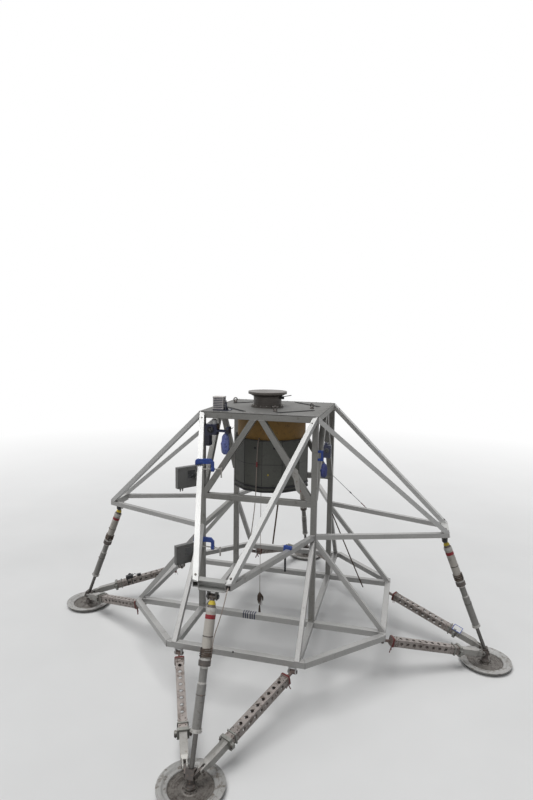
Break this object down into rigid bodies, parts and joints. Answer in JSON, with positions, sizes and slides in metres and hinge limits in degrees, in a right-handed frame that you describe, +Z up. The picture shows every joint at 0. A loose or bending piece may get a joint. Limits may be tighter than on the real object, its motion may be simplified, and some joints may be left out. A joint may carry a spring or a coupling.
{
  "type": "lunar lander",
  "caption": "Landing test model of a lunar lander: a welded tube truss on an octagonal base, with shock struts, perforated side struts, dished footpads and a deck with a round adapter.",
  "frame": {"origin": "centre of the bounding box on the floor, under the footpads", "axes": "+Z up through the adapter on the deck; the front leg points along -Y and the right leg along +X"},
  "size_m": [4.47, 4.47, 2.384],
  "materials": {
    "adapter": "dark brown-grey",
    "brace": "dusty bead-blasted",
    "bracket": "bright milled",
    "cable": "black jacket",
    "clamp": "blue paint",
    "cord_pale": "pale jacket",
    "deck": "satin sheet",
    "device": "pale",
    "drum": "dark grey-green",
    "eye": "forged, zinc plated",
    "instrument": "grey",
    "joint": "dark machined",
    "pad": "pale grey, scuffed",
    "ring": "ochre",
    "rod": "ground and polished",
    "screw": "blackened",
    "sleeve": "grey, slightly translucent",
    "strut_dark": "dark, blackened",
    "strut_white": "off-white satin paint",
    "tube": "satin, welded square tube",
    "unit": "dark blue-black"
  },
  "bodies": {
    "root": {"adapter_body": "adapter", "adapter_cap": "adapter", "beam_strap": "cable", "brace_bolts": "joint", "brace_boxes": "brace", "brace_collars": "brace", "brace_hangers": "bracket", "brace_heads": "brace", "brace_slides": "brace", "clamp_frames": "clamp", "clamp_screws": "screw", "cord_tuft": "cable", "corner_posts": "tube", "cross_bars_cut": "tube", "cross_bars_whole": "tube", "deck": "deck", "deck_device": "device", "deck_ring": "ring", "device_base": "unit", "device_mast": "unit", "diagonals": "tube", "drum": "drum", "drum_bands": "strut_dark", "drum_cord": "cord_pale", "flat_boxes": "instrument", "foot_joints": "joint", "footpads": "pad", "leg_brackets": "bracket", "level_outriggers": "tube", "lifting_eyes": "eye", "mid_beams": "tube", "octagon_corner_bars": "tube", "octagon_leg_bars": "tube", "post_rope": "cable", "post_unit": "unit", "side_beam": "tube", "sloping_outriggers": "tube", "strut_bolts": "joint", "strut_cable": "cord_pale", "strut_collars": "strut_dark", "strut_cylinders": "strut_white", "strut_heads": "joint", "strut_rings": "strut_dark", "strut_rods": "rod", "strut_sleeves": "sleeve", "strut_tubes": "strut_white", "strut_yokes": "bracket", "thin_line": "cable", "top_beams_long": "tube", "top_beams_short": "tube", "tuft_cord": "cord_pale", "vee_braces": "tube"}
  },
  "joints": []
}
